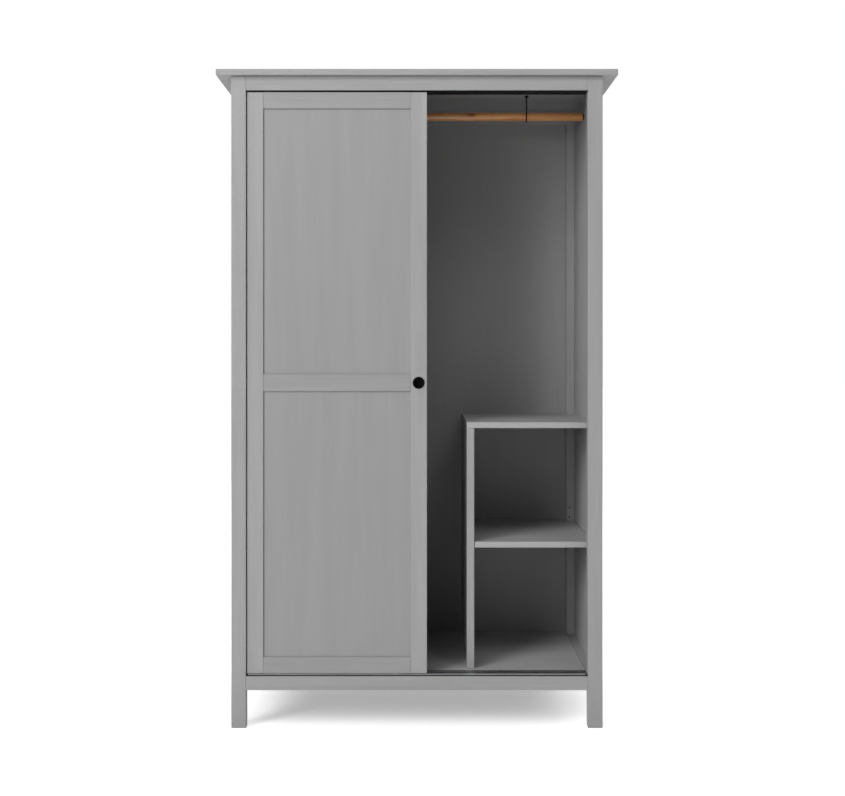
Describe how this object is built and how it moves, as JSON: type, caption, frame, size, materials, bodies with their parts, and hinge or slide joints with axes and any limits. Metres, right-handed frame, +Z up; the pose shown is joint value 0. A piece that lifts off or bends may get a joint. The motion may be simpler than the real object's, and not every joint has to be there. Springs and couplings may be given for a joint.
{
  "type": "sliding door wardrobe",
  "caption": "Free-standing wardrobe with framed sliding doors on rollers, a clothes rail under an overhanging top, and a half-height shelf unit inside.",
  "frame": {"origin": "on the floor, under the middle of the top panel", "axes": "+Z up, +X to the right as seen from the front, the front faces -Y"},
  "size_m": [1.2, 0.59, 1.97],
  "materials": {
    "grey_paint": "satin grey paint on pine, faint grain",
    "hardboard": "grey painted face, bare brown back",
    "pine": "clear varnished pine",
    "black_plastic": "moulded matt black",
    "nylon": "turned white nylon",
    "aluminium": "plain drawn aluminium",
    "black_aluminium": "black anodised, bare along the running ridge",
    "steel": "zinc plated",
    "black_metal": "black powder coat"
  },
  "bodies": {
    "carcass": {"top_panel": "grey_paint", "front_post_left": "grey_paint", "front_post_right": "grey_paint", "rear_post_left": "grey_paint", "rear_post_right": "grey_paint", "side_panel_left": "grey_paint", "side_panel_right": "grey_paint", "side_bottom_rail_left": "grey_paint", "side_bottom_rail_right": "grey_paint", "front_top_rail": "grey_paint", "front_bottom_rail": "grey_paint", "back_top_rail": "grey_paint", "back_bottom_rail": "grey_paint", "back_panel": "hardboard", "bottom_panel": "grey_paint", "top_track": "black_plastic", "bottom_track": "black_plastic", "front_running_rail": "aluminium", "rear_running_rail": "black_aluminium", "divider_panel": "grey_paint", "unit_top_shelf": "grey_paint", "adjustable_shelf": "grey_paint", "shelf_pin_divider_front": "steel", "shelf_pin_divider_rear": "steel", "shelf_pin_side_front": "steel", "shelf_pin_post_rear": "steel", "clothes_rail": "pine", "rail_end_pin_left": "black_plastic", "rail_end_pin_right": "black_plastic", "rail_hanger_left": "black_metal", "rail_hanger_right": "black_metal"},
    "front_door": {"front_door_stile_left": "grey_paint", "front_door_stile_right": "grey_paint", "front_door_top_rail": "grey_paint", "front_door_mid_rail": "grey_paint", "front_door_bottom_rail": "grey_paint", "front_door_upper_panel": "grey_paint", "front_door_lower_panel": "grey_paint", "front_door_finger_pull": "black_plastic", "front_door_top_guide_left": "black_plastic", "front_door_top_guide_right": "black_plastic", "front_door_roller_housing_left": "black_plastic", "front_door_roller_housing_right": "black_plastic"},
    "front_door_wheel_left": {"front_door_roller_wheel_left": "nylon"},
    "front_door_wheel_right": {"front_door_roller_wheel_right": "nylon"},
    "rear_door": {"rear_door_stile_left": "grey_paint", "rear_door_stile_right": "grey_paint", "rear_door_top_rail": "grey_paint", "rear_door_mid_rail": "grey_paint", "rear_door_bottom_rail": "grey_paint", "rear_door_upper_panel": "grey_paint", "rear_door_lower_panel": "grey_paint", "rear_door_finger_pull": "black_plastic", "rear_door_top_guide_left": "black_plastic", "rear_door_top_guide_right": "black_plastic", "rear_door_roller_housing_left": "black_plastic", "rear_door_roller_housing_right": "black_plastic"},
    "rear_door_wheel_left": {"rear_door_roller_wheel_left": "nylon"},
    "rear_door_wheel_right": {"rear_door_roller_wheel_right": "nylon"}
  },
  "joints": [
    {"name": "front_door_slide", "type": "slide", "parent": "carcass", "child": "front_door", "axis": [1, 0, 0], "range_m": [0, 0.48]},
    {"name": "rear_door_slide", "type": "slide", "parent": "carcass", "child": "rear_door", "axis": [1, 0, 0], "range_m": [0, 0.48]},
    {"name": "front_door_wheel_left_spin", "type": "hinge", "parent": "front_door", "child": "front_door_wheel_left", "pos_m": [-0.416, -0.263, 0.1698], "axis": [0, 1, 0], "continuous": true},
    {"name": "front_door_wheel_right_spin", "type": "hinge", "parent": "front_door", "child": "front_door_wheel_right", "pos_m": [-0.064, -0.263, 0.1698], "axis": [0, 1, 0], "continuous": true},
    {"name": "rear_door_wheel_left_spin", "type": "hinge", "parent": "rear_door", "child": "rear_door_wheel_left", "pos_m": [-0.416, -0.236, 0.1698], "axis": [0, 1, 0], "continuous": true},
    {"name": "rear_door_wheel_right_spin", "type": "hinge", "parent": "rear_door", "child": "rear_door_wheel_right", "pos_m": [-0.064, -0.236, 0.1698], "axis": [0, 1, 0], "continuous": true}
  ],
  "couplings": [
    {"joint": "front_door_wheel_left_spin", "follows": "front_door_slide", "rad_per_m": 100},
    {"joint": "front_door_wheel_right_spin", "follows": "front_door_slide", "rad_per_m": 100},
    {"joint": "rear_door_wheel_left_spin", "follows": "rear_door_slide", "rad_per_m": 100},
    {"joint": "rear_door_wheel_right_spin", "follows": "rear_door_slide", "rad_per_m": 100}
  ]
}
